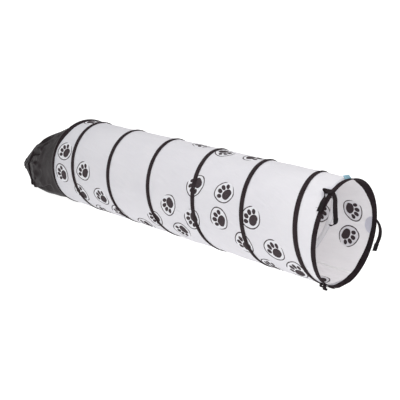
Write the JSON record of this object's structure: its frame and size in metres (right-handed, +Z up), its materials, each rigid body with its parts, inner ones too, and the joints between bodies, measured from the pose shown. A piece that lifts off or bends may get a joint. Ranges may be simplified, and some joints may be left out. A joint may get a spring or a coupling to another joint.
{
  "type": "agility tunnel",
  "caption": "Collapsible fabric play tunnel on a spiral spring, with a hemmed mouth, hook-and-loop ties, paw print panels and a tapered black end sock.",
  "frame": {"origin": "centre of the bounding box at floor level", "axes": "+X along the tube towards its open mouth, +Z up"},
  "size_m": [2.521, 0.5042, 0.5126],
  "materials": {
    "spring_steel": "bright drawn wire",
    "white_fabric": "thin plain-weave polyester, slightly see-through",
    "black_tape": "matt woven polyester tape, stitched along both edges",
    "seam_tape": "white seam tape",
    "label_weave": "woven satin label with a plain pattern",
    "patch_fabric": "thin lining fabric",
    "ribbon": "ribbed polyester ribbon",
    "hook_and_loop": "short pile",
    "black_fabric": "crinkled taffeta with a soft sheen",
    "black_cord": "braided cord"
  },
  "bodies": {
    "mouth": {"mouth_ring_wire": "spring_steel", "mouth_ferrule": "spring_steel", "mouth_hem": "black_tape", "care_label": "label_weave", "patch_low": "patch_fabric", "patch_near": "patch_fabric", "patch_far": "patch_fabric", "wire_turn_1": "spring_steel", "binding_1": "black_tape", "skin_1": "white_fabric", "seam_1": "seam_tape", "tie_low_outer": "ribbon", "tie_low_inner": "ribbon"},
    "coil_2": {"wire_turn_2": "spring_steel", "binding_2": "black_tape", "skin_2": "white_fabric", "seam_2": "seam_tape"},
    "coil_3": {"wire_turn_3": "spring_steel", "binding_3": "black_tape", "skin_3": "white_fabric", "seam_3": "seam_tape"},
    "coil_4": {"wire_turn_4": "spring_steel", "binding_4": "black_tape", "skin_4": "white_fabric", "seam_4": "seam_tape"},
    "coil_5": {"wire_turn_5": "spring_steel", "binding_5": "black_tape", "skin_5": "white_fabric", "seam_5": "seam_tape"},
    "coil_6": {"wire_turn_6": "spring_steel", "binding_6": "black_tape", "skin_6": "white_fabric", "seam_6": "seam_tape"},
    "far_end": {"far_ring_wire": "spring_steel", "far_ferrule": "spring_steel", "far_hem": "black_tape", "sock_sleeve": "black_fabric"},
    "sock_tip": {"sock_end": "black_fabric", "sock_cord": "black_cord"},
    "near_outer_ribbon": {"tie_near_outer": "ribbon", "tie_near_outer_pad": "hook_and_loop"},
    "near_inner_ribbon": {"tie_near_inner": "ribbon", "tie_near_inner_pad": "hook_and_loop"},
    "far_outer_ribbon": {"tie_far_outer": "ribbon", "tie_far_outer_pad": "hook_and_loop"},
    "far_inner_ribbon": {"tie_far_inner": "ribbon", "tie_far_inner_pad": "hook_and_loop"},
    "low_outer_tail": {"tie_low_outer_tail": "ribbon", "tie_low_outer_pad": "hook_and_loop"},
    "low_inner_tail": {"tie_low_inner_tail": "ribbon", "tie_low_inner_pad": "hook_and_loop"}
  },
  "joints": [
    {"name": "collapse_1", "type": "slide", "parent": "mouth", "child": "coil_2", "axis": [1, 0, 0], "range_m": [0, 0.278], "stiffness_N_per_m": 60, "springref_m": -0.05, "deforming": ["wire_turn_1", "binding_1", "skin_1", "seam_1"]},
    {"name": "collapse_2", "type": "slide", "parent": "coil_2", "child": "coil_3", "axis": [1, 0, 0], "range_m": [0, 0.278], "stiffness_N_per_m": 60, "springref_m": -0.05, "deforming": ["wire_turn_2", "binding_2", "skin_2", "seam_2"]},
    {"name": "collapse_3", "type": "slide", "parent": "coil_3", "child": "coil_4", "axis": [1, 0, 0], "range_m": [0, 0.278], "stiffness_N_per_m": 60, "springref_m": -0.05, "deforming": ["wire_turn_3", "binding_3", "skin_3", "seam_3"]},
    {"name": "collapse_4", "type": "slide", "parent": "coil_4", "child": "coil_5", "axis": [1, 0, 0], "range_m": [0, 0.278], "stiffness_N_per_m": 60, "springref_m": -0.05, "deforming": ["wire_turn_4", "binding_4", "skin_4", "seam_4"]},
    {"name": "collapse_5", "type": "slide", "parent": "coil_5", "child": "coil_6", "axis": [1, 0, 0], "range_m": [0, 0.278], "stiffness_N_per_m": 60, "springref_m": -0.05, "deforming": ["wire_turn_5", "binding_5", "skin_5", "seam_5"]},
    {"name": "collapse_6", "type": "slide", "parent": "coil_6", "child": "far_end", "axis": [1, 0, 0], "range_m": [0, 0.24464], "stiffness_N_per_m": 70, "springref_m": -0.04, "deforming": ["wire_turn_6", "binding_6", "skin_6", "seam_6"]},
    {"name": "sock_push", "type": "slide", "parent": "far_end", "child": "sock_tip", "axis": [1, 0, 0], "range_m": [0, 0.38], "deforming": ["sock_sleeve"]},
    {"name": "near_outer_lift", "type": "hinge", "parent": "mouth", "child": "near_outer_ribbon", "pos_m": [1.2485, -0.12655, 0.46588], "axis": [0, 0.866, 0.5], "range_deg": [0, 160]},
    {"name": "near_inner_swing", "type": "hinge", "parent": "mouth", "child": "near_inner_ribbon", "pos_m": [1.254, -0.1227, 0.4544], "axis": [0, 1, 0], "range_deg": [-80, 80]},
    {"name": "far_outer_lift", "type": "hinge", "parent": "mouth", "child": "far_outer_ribbon", "pos_m": [1.245, 0.2516, 0.2479], "axis": [1, 0, 0], "range_deg": [0, 165]},
    {"name": "far_inner_lift", "type": "hinge", "parent": "mouth", "child": "far_inner_ribbon", "pos_m": [1.244, 0.2429, 0.2479], "axis": [-1, 0, 0], "range_deg": [0, 95]},
    {"name": "low_outer_swing", "type": "hinge", "parent": "mouth", "child": "low_outer_tail", "pos_m": [1.228, -0.13829, 0.0007], "axis": [0, 0, 1], "range_deg": [0, 60]},
    {"name": "low_inner_swing", "type": "hinge", "parent": "mouth", "child": "low_inner_tail", "pos_m": [1.251, -0.13829, 0.0007], "axis": [0, 0, -1], "range_deg": [0, 60]}
  ],
  "couplings": [
    {"joint": "collapse_2", "follows": "collapse_1", "ratio": 1},
    {"joint": "collapse_3", "follows": "collapse_1", "ratio": 1},
    {"joint": "collapse_4", "follows": "collapse_1", "ratio": 1},
    {"joint": "collapse_5", "follows": "collapse_1", "ratio": 1},
    {"joint": "collapse_6", "follows": "collapse_1", "ratio": 0.88}
  ]
}
